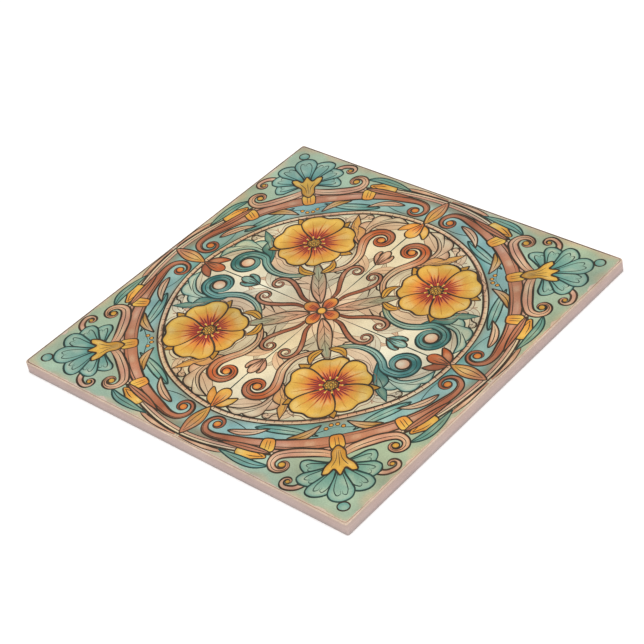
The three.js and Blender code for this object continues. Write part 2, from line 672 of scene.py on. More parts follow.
def draw_clasps(art):
    """Clasps that hold the ribbon, and the long boss on each axis where its volutes meet."""
    rim = (
        (87.2, -1.6), (90.8, -2.1), (94.6, -1.7), (95.2, 0),
        (94.6, 1.7), (90.8, 2.1), (87.2, 1.6), (86.6, 0),
    )
    for angle in (26, 45, 64):
        outline = spline([polar(radius, angle + turn) for radius, turn in rim], closed=True)
        art.form(outline, fade("gold_light", "amber", polar(95, angle), polar(87, angle)), DETAIL_PEN)
        for turn in (-0.5, 0.5):
            art.line(spline([polar(radius, angle + turn) for radius in (88, 91, 94)]), FINE_PEN)
    boss = both_halves([(76.4, 0), (80, 2.2), (85, 3.6), (90, 3.0), (96.0, 0)])
    for turned, quarters in ((as_drawn, RIGHT_AND_LEFT), (swapped, TOP_AND_BOTTOM)):
        wash = pooled_fade(turned([(77, 0), (96, 0)]), "gold", "rust_light", "rust", 1.6, 0.5)
        art.form(spline(turned(boss), closed=True), wash, DETAIL_PEN, quarters=quarters)
        for y in (1.3, -1.3):
            crease = turned([(78.5, 0), (84, y), (90, y * 0.8), (94.0, 0)])
            art.line(spline(crease), FINE_PEN, quarters=quarters)


# The corners
CORNER_BASE = (71.2, 71.2)


def in_corner(points, way=1):
    """Points of a corner motif, which is drawn outwards along the diagonal, either side of it."""
    return placed([(u, way * v) for u, v in points], CORNER_BASE, 45)


def draw_corner_scrolls(art):
    """On each side of a palmette: a volute, a yellow bud and two leaves."""
    middle = (-1.4, 24.6)
    small_middle = (9.4, 22.4)
    stem = [(-1.0, 0.5), (-4.2, 6.0), (-6.4, 13.5)] + spiral(middle, 6.9, 1.3, 205, -470)
    shoot = [(7.0, 11.0), (11.6, 14.6), (13.8, 19.2)] + spiral(small_middle, 3.6, 0.9, 10, 400)
    names = ("peach", "peach_pale", "rose", "peach_pale", "peach", "rust_light")
    for way in (1, -1):
        ribbon(art, in_corner(shoot, way), (2.0, 3.0, 2.6, 1.6, 0.5), names, "rose", folds=())
        eye = in_corner([small_middle], way)[0]
        disc(art, eye, 1.1, rings(eye, (0, "gold_light"), (1.2, "gold_deep")), FINE_PEN)
        base, tip = in_corner([(-7.4, 31.4), (-15.4, 43.8)], way)
        bud(art, base, tip, 9.0, pooled_fade((base, tip), "amber", "gold_light", "gold_deep", 1.8, 0.6))
        blade = in_corner([(-1.8, 31.0), (-4.2, 37.0), (-10.0, 44.0), (-17.6, 51.2)], way)
        leaf(art, blade, 4.4, pooled_fade(blade, "teal", "sage", "teal"), ink=GREEN_INK)
        blade = in_corner([(-9.2, 29.0), (-13.8, 36), (-18.4, 43), (-23.2, 51)], way)
        leaf(art, blade, 3.6, fade("rust_light", "rust", blade[0], blade[-1]))
        widths = (3.0, 4.6, 5.2, 4.6, 3.4, 1.9, 0.5)
        ribbon(art, in_corner(stem, way), widths, names, "rust_light", folds=(0.1,))
        eye = in_corner([middle], way)[0]
        disc(art, eye, 1.7, rings(eye, (0, "gold_light"), (1.8, "gold_deep")))
        hook = [(4.0, 9.0), (4.4, 13.4), (8.0, 17.8), (12.2, 17.9), (13.0, 15.2), (11.2, 14.8)]
        curl(art, in_corner(hook, way), FINE_PEN * 1.3)


def draw_palmette_lobe(art, angle, length, width):
    """One round lobe of a palmette, curled away from the middle one, with a fold line on each side."""
    bend = 0 if angle == 0 else math.copysign(2.6, angle)
    root = in_corner([(2.6, 0)])[0]

    def lobe(points):
        curled = [(u * length, v * width / 11 + bend * u**3) for u, v in points]
        return placed(curled, root, 45 + angle)

    right = [(0, 0.5), (0.30, 1.8), (0.55, 3.9), (0.80, 5.5), (0.96, 4.2), (1.03, 0.6)]
    left = [(0.95, -3.6), (0.76, -5.2), (0.52, -3.7), (0.28, -1.6)]
    wash = rings(root, (4, "teal_dark"), (8.5, "teal"), (length, "teal_pale"))
    art.form(spline(lobe(right + left), closed=True), pooled(wash, "teal", 2.2, 0.75), ink=GREEN_INK)
    fold = [(0.24, 0.3), (0.5, 1), (0.74, 1.35), (0.86, 0.9), (0.82, 0.2), (0.74, 0.25)]
    for side in (2.1, -1.9):
        line = spline(lobe([(u, v * side) for u, v in fold]))
        art.line(line, FINE_PEN * 1.25, GREEN_INK, start=1.1, end=0.2)


def draw_palmette(art):
    """A fan of seven teal lobes that spring from a golden calyx, with a knob beyond the middle one."""
    shadow = both_halves([(2, 0), (4, 8.5), (8, 14), (15, 14.5), (20.5, 7.5), (22.5, 0)])
    art.colour(spline(in_corner(shadow), closed=True), plain("teal_dark"))
    for angle, length, width in ((82, 16.0, 10.0), (54, 19.0, 11.0), (27, 21.5, 11.5)):
        draw_palmette_lobe(art, angle, length, width)
        draw_palmette_lobe(art, -angle, length, width)
    draw_palmette_lobe(art, 0, 23.4, 12.0)
    knob = in_corner([(29.6, 0)])[0]
    disc(art, knob, 2.7, rings(knob + 0.8, (0, "teal_pale"), (3.2, "teal")))
    calyx = both_halves(
        [(-7.5, 0), (-4.0, 3.0), (0.5, 3.4), (4.5, 6.6), (8.6, 7.6), (8.8, 5.2), (6.4, 2.6), (10.4, 0)]
    )
    wash = pooled_fade(in_corner([(-6, 0), (9, 0)]), "gold_deep", "gold_light", "gold_deep", 1.8, 0.6)
    art.form(spline(in_corner(calyx), closed=True), wash)
    for v in (1.7, -1.7, 0):
        art.line(spline(in_corner([(-4.6, v * 0.4), (0.6, v * 0.8), (5.0, v * 2.2)])), FINE_PEN)


# The flowers: the middle of one, its colours by distance from there, and the outline of a petal as
# shares of its length and width
FLOWER = np.array((38.0, 38.0))
FLOWER_STOPS = (
    (3.2, "crimson"), (5.2, "red"), (8.2, "orange"), (11.2, "amber"), (14.4, "gold"), (18.5, "gold_light"),
)
PETAL = (
    (0.10, 0.02), (0.20, 0.15), (0.40, 0.38), (0.62, 0.52), (0.82, 0.50), (0.97, 0.30),
    (0.945, 0.06), (1.0, -0.16), (0.90, -0.42), (0.70, -0.53), (0.46, -0.42), (0.22, -0.17),
)


def draw_petal(art, heading, length, width, lean, quarters):
    """A broad notched petal with a red throat and faint creases."""

    def petal(points):
        return placed([(u * length, v * width + lean * u * u) for u, v in points], FLOWER, heading)

    wash = pooled(rings(FLOWER, *FLOWER_STOPS), "gold_deep", 1.8, 0.6)
    art.form(spline(petal(PETAL), closed=True), wash, quarters=quarters)
    for k, reach in ((-3, 0.52), (-2, 0.70), (-1, 0.60), (0, 0.76), (1, 0.62), (2, 0.72), (3, 0.50)):
        line = spline(petal([(0.17, k * 0.022), (0.36, k * 0.066), (reach, k * 0.118)]))
        wash = fade("red", "amber", line[0], line[-1])
        art.line(line, FINE_PEN * 2.4, wash, quarters, start=1.5, end=0.1)
        line = spline(petal([(0.17, k * 0.022), (0.30, k * 0.050), (reach * 0.8, k * 0.095)]))
        art.line(line, FINE_PEN * 1.2, plain("crimson"), quarters, start=1.4, end=0.1)
    for v, reach in ((0.27, 0.86), (-0.26, 0.84), (0.02, 0.90)):
        crease = petal([(0.55, v * 0.7), (0.72, v), (reach, v * 1.15)])
        art.line(spline(crease), FINE_PEN * 0.9, plain("gold_deep"), quarters, start=0.4, end=0.1)


def draw_seed_boss(art, quarters):
    """The middle of a flower, with its seeds and stamens."""
    angles = np.linspace(0, 2 * np.pi, 60, endpoint=False)
    radius = 3.5 * (1 + 0.07 * np.cos(7 * angles + 0.6))
    boss = FLOWER + radius[:, None] * np.column_stack((np.cos(angles), np.sin(angles)))
    wash = rings(FLOWER, (0, "gold_light"), (2.2, "gold_deep"), (3.8, "rust_dark"))
    art.form(boss, wash, quarters=quarters)
    disc(art, FLOWER, 0.8, plain("gold"), FINE_PEN, quarters)
    for k in range(6):
        disc(art, FLOWER + polar(1.9, 60 * k + 18), 0.62, plain("gold_light"), FINE_PEN, quarters)
    for k in range(10):
        root, tip = FLOWER + polar(3.6, 36 * k + 6), FLOWER + polar(5.2, 36 * k + 9)
        art.line(spline([root, tip]), FINE_PEN, plain("gold_light"), quarters, start=0.8, end=0.8)
        art.colour(arc(tip, 0.55, 0, 360)[:-1], plain("gold_light"), quarters)


def draw_flowers(art):
    """A five-petalled flower with its sepals on each diagonal, each turned a little its own way."""
    petals = (
        (189, 18.4, 18.0, 0.6), (261, 19.0, 18.0, -0.6), (117, 20.6, 19.8, 1.0), (-27, 20.6, 19.8, -1.0),
        (45, 21.6, 20.6, 0.3),
    )
    for quarter, turn in zip(QUARTERS, (3, 21, -14, 36)):
        only_here = (quarter,)
        for heading, length, width, _ in petals:
            echo = [((u + 0.02) * length * 1.06, v * width * 1.05) for u, v in PETAL]
            line = spline(placed(echo, FLOWER, heading + turn), closed=True)
            art.line(line, FINE_PEN, SEPIA_INK, only_here, closed=True)
        for heading in (81, 9, 153, -63):
            path = placed([(8, 0), (15, 0.8), (22.8, 0)], FLOWER, heading + turn)
            leaf(art, path, 6.4, fade("sage", "gold_deep", FLOWER, path[-1]), quarters=only_here)
        for heading, length, width, lean in petals:
            draw_petal(art, heading + turn, length, width, lean, only_here)
        draw_seed_boss(art, only_here)


# The scrolls of the medallion
def draw_stems(art):
    """From each flower's foot: a stem to an orange volute, and one to a teal ring round an eyelet."""
    middle = (9.6, 55.6)
    path = [(21.5, 21.0), (15.5, 25.5), (11.2, 32.5), (11.6, 41.0), (15.6, 48.6)]
    path += spiral(middle, 8.0, 1.5, -18, 540)
    names = ("gold", "peach_pale", "cream", "peach", "orange", "rust", "orange", "rust")
    ribbon(art, path, (2.0, 3.0, 4.2, 5.0, 4.2, 2.8, 0.6), names, "rust", folds=(0.1,))
    disc(art, middle, 2.1, rings(middle, (0, "gold_light"), (2.2, "orange")))
    middle = (57.0, 10.0)
    path = [(21.0, 21.5), (25.5, 15.5), (32.5, 11.2), (41.0, 10.6), (47.8, 13.6), (52.2, 17.2)]
    path += spiral(middle, 7.0, 4.1, 68, -400)
    names = ("gold", "cream_green", "teal_pale", "teal", "teal_dark", "teal", "teal_pale")
    ribbon(art, path, (2.0, 2.8, 3.6, 4.0, 4.4, 3.4, 0.8), names, "teal_dark", ink=GREEN_INK, folds=(0.1,))
    disc(art, middle, 3.4, rings((56.2, 10.8), (0, "cream_light"), (4, "peach")), OUTLINE_PEN)


def draw_fronds(art):
    """Lobed scroll leaves that fill the spaces beside the flowers."""
    wide = ((48.5, 14.5), (56.0, 20.6), (64.0, 20.5), (70.5, 14.0), (72.6, 6.5))
    slim = ((46.0, 12.5), (52.0, 22.5), (58.5, 29.5), (66.5, 33.4))
    wash = pooled_fade(wide, "teal_pale", "cream_green", "teal", 1.8, 0.7)
    frond(art, wide, 6.4, 4, 1, wash, GREEN_INK)
    frond(art, slim, 5.4, 3, -1, pooled_fade(slim, "teal_dark", "sage", "teal_dark"), GREEN_INK)
    wide, slim = swapped(wide), swapped(slim)
    frond(art, wide, 6.4, 4, -1, pooled_fade(wide, "peach", "cream", "sepia", 1.8, 0.5))
    frond(art, slim, 5.4, 3, 1, pooled_fade(slim, "peach", "gold", "rust_light", 1.6, 0.5))


def draw_axis_buds(art):
    """A golden lotus on the top and bottom axes, a rust one on the right and left."""
    for turned, quarters, width, names in (
        (swapped, TOP_AND_BOTTOM, 7.0, ("amber", "gold_light", "gold_deep", "orange")),
        (as_drawn, RIGHT_AND_LEFT, 6.0, ("rust", "orange", "rust_dark", "rust")),
    ):
        base, tip, side_tip = turned([(76.0, 0), (63.4, 0), (66, 8)])
        for way in (1, -1):
            sepal = [(75.0, 0.4), (74.0, 4.6), (70.0, 7.4), (66.0, 7.6), (68.0, 4.4), (70.6, 1.6)]
            outline = spline(turned([(x, way * y) for x, y in sepal]), closed=True)
            wash = pooled_fade((base, side_tip), names[0], names[1], names[2], 1.5, 0.5)
            art.form(outline, wash, DETAIL_PEN, quarters=quarters)
        wash = pooled_fade((base, tip), names[3], names[1], names[0], 1.6, 0.6)
        bud(art, base, tip, width, wash, quarters)


def draw_heart(art):
    """The middle: a rosette, a leaf to each flower's foot, and small scrolls along the axes."""
    wash = pooled_fade(((5, 5), (27, 27)), "peach", "sage", "rust_light", 1.8, 0.5)
    leaf(art, ((4.0, 4.0), (11.0, 10.4), (18.0, 18.4), (27.5, 27.5)), 7.2, wash, veins=3, pen=OUTLINE_PEN)
    middle = (31.0, 4.9)
    path = [(6.0, 1.6), (14.0, 2.6), (21.0, 6.6), (27.0, 9.2)] + spiral(middle, 4.3, 1.2, 88, -440)
    names = ("rust_dark", "rust", "rust_light", "rust_light", "rose")
    for turned in (as_drawn, swapped):
        sepal = turned([(21.0, 19.0), (27.5, 17.5), (32.5, 20.5)])
        leaf(art, sepal, 3.8, fade("gold", "gold_deep", sepal[0], sepal[-1]))
        ribbon(art, turned(path), (1.3, 2.1, 2.4, 2.0, 1.3, 0.7), names, "rust_dark", DETAIL_PEN, folds=())
    petal = both_halves([(0.6, 0), (2.6, 1.8), (5.8, 3.3), (8.8, 2.6), (10.4, 0)])
    wash = pooled(rings((0, 0), (2, "rust"), (6, "orange"), (10, "gold")), "rust", 1.4, 0.4)
    for turned, quarters in ((as_drawn, RIGHT_AND_LEFT), (swapped, TOP_AND_BOTTOM)):
        art.form(spline(turned(petal), closed=True), wash, DETAIL_PEN, quarters=quarters)
        for v in (0.9, -0.9, 0):
            streak = spline(turned([(2.5, v * 0.5), (5.5, v), (7.8, v * 0.9)]))
            art.line(streak, FINE_PEN, plain("crimson"), quarters, start=1.0, end=0.1)
    disc(art, (0, 0), 2.3, rings((0, 0), (0, "gold_light"), (2.4, "amber")), OUTLINE_PEN, ONCE)


def draw_fleurons(art):
    """A small three-leaved fleuron on each axis, between the scrolls."""
    wing = ((40.0, 0.4), (41.6, 2.6), (44.6, 4.6), (48.4, 4.4), (49.0, 3.0), (46.6, 2.8), (44.0, 1.0))
    for turned, quarters, names in (
        (as_drawn, RIGHT_AND_LEFT, ("teal", "teal_pale", "teal_dark")),
        (swapped, TOP_AND_BOTTOM, ("rose", "peach_pale", "rust_light")),
    ):
        base, tip = turned([(39.6, 0), (51.0, 0)])
        wash = pooled_fade((base, tip), *names, 1.5, 0.6)
        for way in (1, -1):
            outline = spline(turned([(x, way * y) for x, y in wing]), closed=True)
            art.form(outline, wash, DETAIL_PEN, quarters=quarters)
        bud(art, base, tip, 4.6, wash, quarters)


def draw_curls(art):
    """Thin curls in the open cream."""
    for turned in (as_drawn, swapped):
        curl(art, turned([(18.6, 12.0), (24.0, 9.4)] + spiral((27.6, 13.6), 3.2, 0.8, -110, -420)))
        curl(art, turned([(60.0, 33.0), (64.0, 30.0)] + spiral((67.2, 26.2), 3.0, 0.8, 120, -400)))
        curl(art, turned([(7.0, 1.0), (12.0, 4.6), (15.4, 9.0), (18.2, 12.6)]), FINE_PEN, SEPIA_INK)


def draw_axis_lines(art):
    """The pen line down each axis."""
    line = np.column_stack((np.linspace(10, 98.4, 200), np.zeros(200)))
    art.line(line, DETAIL_PEN * 0.8, GREEN_INK, RIGHT_AND_LEFT)
    art.line(line[:, ::-1], DETAIL_PEN * 0.8, GREEN_INK, TOP_AND_BOTTOM)


def drawn_print():
    """The whole artwork, the lowest parts first."""
    art = Print()
    for draw in (
        draw_ground, draw_medallion, draw_band, draw_side_ribbons, draw_belt_leaves, draw_axis_lines,
        draw_curls, draw_fronds, draw_fleurons, draw_axis_buds, draw_stems, draw_heart,
        draw_rust_ribbon, draw_clasps, draw_flowers, draw_corner_scrolls, draw_palmette, draw_edge_line_and_shade,
    ):
        draw(art)
    return art


# From outlines to a mesh
def thinned(outline):
    """An outline without the points that it can spare."""
    ring = np.vstack((outline, outline[:1]))
    keep = np.zeros(len(ring), bool)
    middle = int(np.linalg.norm(ring - ring[0], axis=1).argmax())
    keep[[0, middle, -1]] = True
    spans = [(0, middle), (middle, len(ring) - 1)]
    while spans:
        first, last = spans.pop()
        if last - first < 2:
            continue
        run = ring[last] - ring[first]
        away = ring[first + 1 : last] - ring[first]
        share = np.clip(away @ run / max(run @ run, 1e-12), 0, 1)
        gap = np.linalg.norm(away - share[:, None] * run, axis=1)
        furthest = int(gap.argmax())
        if gap[furthest] > THINNING:
            split = first + 1 + furthest
            keep[split] = True
            spans += [(first, split), (split, last)]
    return ring[keep][:-1]


def wound_round(points, outline):
    """Which points lie inside an outline, also where it crosses itself."""
    x, y = points[:, 0], points[:, 1]
    winding = np.zeros(len(points), int)
    for (x0, y0), (x1, y1) in zip(outline, np.roll(outline, -1, axis=0)):
        low, high = (y0, y1) if y0 < y1 else (y1, y0)
        level = np.nonzero((y >= low) & (y < high))[0]
        turn = (x1 - x0) * (y[level] - y0) - (x[level] - x0) * (y1 - y0)
        if y0 < y1:
            winding[level[turn > 0]] += 1
        else:
            winding[level[turn < 0]] -= 1
    return winding != 0


def topmost(points, parts):
    """The part that shows at each point, by its place in the list, or -1 for bare glaze."""
    order = np.argsort(points[:, 0])
    xs = points[order, 0]
    top = np.full(len(points), -1)
    for index, (outline, _, _) in enumerate(parts):
        (x0, y0), (x1, y1) = outline.min(axis=0), outline.max(axis=0)
        near = order[np.searchsorted(xs, x0) : np.searchsorted(xs, x1)]
        near = near[(points[near, 1] >= y0) & (points[near, 1] <= y1)]
        top[near[wound_round(points[near], outline)]] = index
    return top


def seen_edges(parts):
    """The stretches of the outlines that divide what shows."""
    start = np.vstack([outline for outline, _, _ in parts])
    end = np.vstack([np.roll(outline, -1, axis=0) for outline, _, _ in parts])
    run = end - start
    left = np.column_stack((-run[:, 1], run[:, 0]))
    left *= LOOK_ASIDE / np.maximum(np.linalg.norm(run, axis=1), 1e-9)[:, None]
    seen = np.zeros(len(start), bool)
    for share in (0.06, 0.5, 0.94):
        middle = start + run * share
        seen |= topmost(middle + left, parts) != topmost(middle - left, parts)
    return start[seen], end[seen]


def honeycomb(spacing, reach):
    """Points spread evenly over the face, so that the washes change smoothly."""
    rows = np.arange(-reach, reach, spacing * math.sqrt(3) / 2)
    columns = np.arange(-reach, reach, spacing)
    return np.array([(x + (i % 2) * spacing / 2, y) for i, y in enumerate(rows) for x in columns])


def triangulated(rim, parts):
    """Corners and triangles of the printed face: every outline that shows is an edge."""
    start, end = seen_edges(parts)
    points = np.vstack((rim, start, end, honeycomb(WASH_SPACING, PRINT_HALF)))
    count = len(rim)
    edges = [(i, (i + 1) % count) for i in range(count)]
    edges += [(count + i, count + len(start) + i) for i in range(len(start))]
    found = delaunay_2d_cdt([Vector(point) for point in points], edges, [], 0, LEAST_SPACING, False)
    corners = np.array([tuple(corner) for corner in found[0]])
    return corners, np.array(found[2], int)


def linear(colours):
    """Screen colours as light."""
    return np.where(colours <= 0.04045, colours / 12.92, ((colours + 0.055) / 1.055) ** 2.4)


def triangle_colours(corners, triangles, parts):
    """The colour at each corner of each triangle."""
    places = corners[triangles]
    top = topmost(places.mean(axis=1), parts)
    colours = np.tile(tint("bare_glaze"), (len(triangles), 3, 1))
    for index in np.unique(top[top >= 0]):
        outline, wash, quarter = parts[index]
        own = np.nonzero(top == index)[0]
        points = places[own].reshape(-1, 2) * quarter
        colours[own] = wash(points, outline * quarter).reshape(-1, 3, 3)
    warmth = wander(places.reshape(-1, 2), 27, 8.0).reshape(-1, 3, 1)
    strength = wander(places.reshape(-1, 2), 12, 2.5).reshape(-1, 3, 1)
    colours *= 1 + WARMTH_DRIFT * warmth + STRENGTH_DRIFT * strength
    return linear(np.clip(colours, 0, 1))


# Modelling
def only(piece):
    """Makes one piece the selected and active one."""
    bpy.ops.object.select_all(action="DESELECT")
    piece.select_set(True)
    bpy.context.view_layer.objects.active = piece


def let_go(kind):
    """Leaves nothing selected on the active piece, ready for its edges or its faces to be picked."""
    bpy.ops.object.mode_set(mode="EDIT")
    bpy.ops.mesh.select_mode(type=kind)
    bpy.ops.mesh.select_all(action="DESELECT")
    bpy.ops.object.mode_set(mode="OBJECT")


def pick_edges(piece, wanted):
    """Selects the edges, in edit mode, whose two ends pass a test."""
    let_go("EDGE")
    places = [vertex.co for vertex in piece.data.vertices]
    for edge in piece.data.edges:
        edge.select = wanted(places[edge.vertices[0]], places[edge.vertices[1]])
    bpy.ops.object.mode_set(mode="EDIT")


def pick_faces(piece, wanted):
    """Selects the faces, in edit mode, that pass a test."""
    let_go("FACE")
    for face in piece.data.polygons:
        face.select = wanted(face)
    bpy.ops.object.mode_set(mode="EDIT")


def pressed_body():
    """The pressed tile: round corners, a rolled shoulder, a worn foot and a keyed back."""
    bpy.ops.object.select_all(action="DESELECT")
    bpy.ops.mesh.primitive_cube_add(size=1, location=(0, 0, TILE_LOW.z + TILE_THICKNESS / 2))
    body = bpy.context.object
    body.name = "pressed_body"
    body.scale = (TILE_SIDE, TILE_SIDE, TILE_THICKNESS)
    bpy.ops.object.transform_apply(location=True, rotation=True, scale=True)
    top, foot = TILE_HIGH.z - 1e-6, TILE_LOW.z + 1e-6
    for radius, same_sign in ((CORNER_RADIUS, False), (WORN_CORNER_RADIUS, True)):
        pick_edges(body, lambda a, b: abs(a.z - b.z) > TILE_THICKNESS / 2 and (a.x * a.y > 0) == same_sign)
        bpy.ops.mesh.bevel(offset=radius, segments=7, affect="EDGES")
    pick_edges(body, lambda a, b: a.z > top and b.z > top)
    bpy.ops.mesh.bevel(offset=SHOULDER_RADIUS, segments=5, affect="EDGES")
    pick_edges(body, lambda a, b: a.z < foot and b.z < foot)
    bpy.ops.mesh.bevel(offset=FOOT_RADIUS, segments=3, affect="EDGES")
    key_back(body, foot)
    return body


def key_back(body, foot):
    """Presses rows of shallow square pockets into the back, each with a soft lip and floor."""
    pitch = KEY_POCKET + KEY_RIB
    reach = (KEY_ROWS - 1) / 2 * pitch
    middles = [row * pitch - reach for row in range(KEY_ROWS)]
    lines = [middle + side * KEY_POCKET / 2 for middle in middles for side in (-1, 1)]
    for axis in ((1, 0, 0), (0, 1, 0)):
        for line in lines:
            pick_faces(body, lambda face: face.center.z < foot)
            bpy.ops.mesh.bisect(plane_co=Vector(axis) * line, plane_no=axis)

    def is_pocket(face):
        near_x = min(abs(face.center.x - middle) for middle in middles)
        near_y = min(abs(face.center.y - middle) for middle in middles)
        return face.center.z < foot and max(near_x, near_y) < KEY_RIB / 2

    pick_faces(body, is_pocket)
    for narrower, deeper in KEY_STEPS:
        bpy.ops.mesh.inset(thickness=narrower, depth=-deeper, use_individual=True)
    bpy.ops.object.mode_set(mode="OBJECT")


def open_face(body):
    """Takes the flat face off the body and gives back its rim, in order, in millimetres."""
    only(body)
    face = max(body.data.polygons, key=lambda polygon: polygon.center.z)
    rim = [body.data.vertices[i].co for i in face.vertices]
    rim = np.array([(co.x / MM, co.y / MM) for co in rim])
    index = face.index
    pick_faces(body, lambda polygon: polygon.index == index)
    bpy.ops.mesh.delete(type="ONLY_FACE")
    bpy.ops.object.mode_set(mode="OBJECT")
    return rim


def printed_face(rim):
    """The flat printed face, its colours held at the corners of its triangles."""
    parts = drawn_print().parts
    corners, triangles = triangulated(rim, parts)
    height = np.full(len(corners), TILE_HIGH.z)
    mesh = bpy.data.meshes.new("printed_face")
    mesh.from_pydata(np.column_stack((corners * MM, height)).tolist(), [], triangles.tolist())
    store_colours(mesh, triangle_colours(corners, triangles, parts).reshape(-1, 3))
    face = bpy.data.objects.new("printed_face", mesh)
    bpy.context.scene.collection.objects.link(face)
    return face


def store_colours(mesh, colours):
    """Keeps one colour for each face corner, in the attribute that the glaze reads."""
    held = mesh.color_attributes.new(name="print", type="FLOAT_COLOR", domain="CORNER")
    held.data.foreach_set("color", np.column_stack((colours, np.ones(len(colours)))).ravel())


def is_back(face):
    """Whether a face lies on the keyed back: low down, and flat or well inside the foot of the sides."""
    inside = max(abs(face.center.x), abs(face.center.y)) < TILE_SIDE / 2 - BACK_INSET
    return face.center.z < TILE_LOW.z + BACK_HEIGHT and (inside or face.normal.z < -0.99)


def unwrap_tile(mesh):
    """One map: the face with the sides folded out round it, and the back beside it, smaller.

    The worn foot turns back inwards as it drops, so it is stretched to keep some width on the map.
    """
    co = np.zeros(len(mesh.vertices) * 3)
    mesh.vertices.foreach_get("co", co)
    loops = np.zeros(len(mesh.loops), int)
    mesh.loops.foreach_get("vertex_index", loops)
    faces = mesh.polygons
    on_back = np.repeat([is_back(face) for face in faces], [face.loop_total for face in faces])
    place = co.reshape(-1, 3)[loops]
    reach = np.maximum(np.abs(place[:, :2]).max(axis=1), 1e-6)
    foot = np.maximum(TILE_LOW.z + FOOT_RADIUS - place[:, 2], 0) * FOOT_STRETCH
    unfolded = place[:, :2] * (1 + (TILE_HIGH.z - place[:, 2] + foot) / reach)[:, None]
    whole = TILE_SIDE + 2 * TILE_THICKNESS + 2 * FOOT_RADIUS * FOOT_STRETCH
    front = MAP_GAP + (unfolded / whole + 0.5) * MAP_FACE
    back_corner = (MAP_GAP * 2 + MAP_FACE, MAP_GAP)
    back = (place[:, :2] * (-1, 1) / TILE_SIDE + 0.5) * MAP_BACK + back_corner
    layer = mesh.uv_layers.new(name="OFBake")
    layer.data.foreach_set("uv", np.where(on_back[:, None], back, front).ravel())


def glazed_tile():
    """The whole tile in one closed mesh: glaze on the face and shoulder, bare biscuit elsewhere."""
    body = pressed_body()
    rim = open_face(body)
    store_colours(body.data, np.tile(linear(tint("bare_glaze")), (len(body.data.loops), 1)))
    body.data.materials.append(printed_glaze())
    body.data.materials.append(biscuit("side_biscuit", SIDE_TONES_SHADED_AT_FOOT, 0.10))
    body.data.materials.append(biscuit("back_biscuit", BACK_TONES_WASHED_AND_SHADED, 0.55))
    for face in body.data.polygons:
        face.material_index = 0 if face.center.z > TILE_HIGH.z - SHOULDER_RADIUS else 1
        if is_back(face):
            face.material_index = 2
    print_face = printed_face(rim)
    print_face.data.materials.append(body.data.materials[0])
    only(body)
    print_face.select_set(True)
    bpy.ops.object.join()
    bpy.ops.object.mode_set(mode="EDIT")
    bpy.ops.mesh.select_all(action="SELECT")
    bpy.ops.mesh.remove_doubles(threshold=JOINING_DISTANCE)
    bpy.ops.mesh.dissolve_degenerate(threshold=LEAST_WIDTH)
    bpy.ops.object.mode_set(mode="OBJECT")
    bpy.ops.object.shade_smooth_by_angle(angle=math.radians(SHARP_ANGLE))
    unwrap_tile(body.data)
    body.name = body.data.name = "glazed_tile"
    return body


# Materials
def new_group(name, inputs, outputs):
    """An empty node group with named sockets, and its input and output nodes."""
    group = bpy.data.node_groups.new(name, "ShaderNodeTree")
    for label, kind, value in inputs:
        socket = group.interface.new_socket(label, in_out="INPUT", socket_type=kind)
        socket.default_value = value
    for label, kind in outputs:
        group.interface.new_socket(label, in_out="OUTPUT", socket_type=kind)
    return group, group.nodes.new("NodeGroupInput"), group.nodes.new("NodeGroupOutput")


def feed(tree, value, socket):
    """Sets a socket from another socket, or to a plain number or colour."""
    if isinstance(value, bpy.types.NodeSocket):
        tree.links.new(value, socket)
    else:
        socket.default_value = value


def noise_over(tree, where, scale, detail):
    """Noise over the given coordinates."""
    noise = tree.nodes.new("ShaderNodeTexNoise")
    noise.inputs["Detail"].default_value = detail
    feed(tree, where, noise.inputs["Vector"])
    feed(tree, scale, noise.inputs["Scale"])
    return noise.outputs["Fac"]


def stretched_range(tree, value, low, high, least=0.0):
    """A value stretched so that low becomes the least and high becomes 1, and held between them."""
    node = tree.nodes.new("ShaderNodeMapRange")
    node.inputs["From Min"].default_value = low
    node.inputs["From Max"].default_value = high
    node.inputs["To Min"].default_value = least
    feed(tree, value, node.inputs["Value"])
    return node.outputs["Result"]


def worked_out(tree, operation, *values):
    """A number worked out from others."""
    node = tree.nodes.new("ShaderNodeMath")
    node.operation = operation
    for socket, value in zip(node.inputs, values):
        feed(tree, value, socket)
    return node.outputs["Value"]


def mixed(tree, share, first, second, way="MIX"):
    """Two colours mixed, with a share of the second."""
    node = tree.nodes.new("ShaderNodeMix")
    node.data_type = "RGBA"
    node.blend_type = way
    for name, value in (("Factor", share), ("A", first), ("B", second)):
        feed(tree, value, node.inputs[name])
    return node.outputs["Result"]


def uneven_colour_group():
    """A colour that pools darker and thins lighter in slow blotches, with a fine grain."""
    inputs = (
        ("Colour", "NodeSocketColor", (0.8, 0.8, 0.8, 1)),
        ("Blotch Scale", "NodeSocketFloat", 60.0),
        ("Blotch Amount", "NodeSocketFloat", 0.2),
        ("Grain Scale", "NodeSocketFloat", 1500.0),
        ("Grain Amount", "NodeSocketFloat", 0.1),
    )
    group, given, result = new_group("uneven_colour", inputs, (("Colour", "NodeSocketColor"),))
    place = group.nodes.new("ShaderNodeTexCoord").outputs["Object"]
    colour = given.outputs["Colour"]
    for effect, detail in (("Blotch", 4.0), ("Grain", 2.0)):
        noise = noise_over(group, place, given.outputs[effect + " Scale"], detail)
        centred = stretched_range(group, noise, 0.3, 0.7, -1.0)
        strength = worked_out(group, "MULTIPLY_ADD", centred, given.outputs[effect + " Amount"], 1.0)
        toned = group.nodes.new("ShaderNodeVectorMath")
        toned.operation = "SCALE"
        feed(group, colour, toned.inputs["Vector"])
        feed(group, strength, toned.inputs["Scale"])
        colour = toned.outputs["Vector"]
    feed(group, colour, result.inputs["Colour"])
    return group


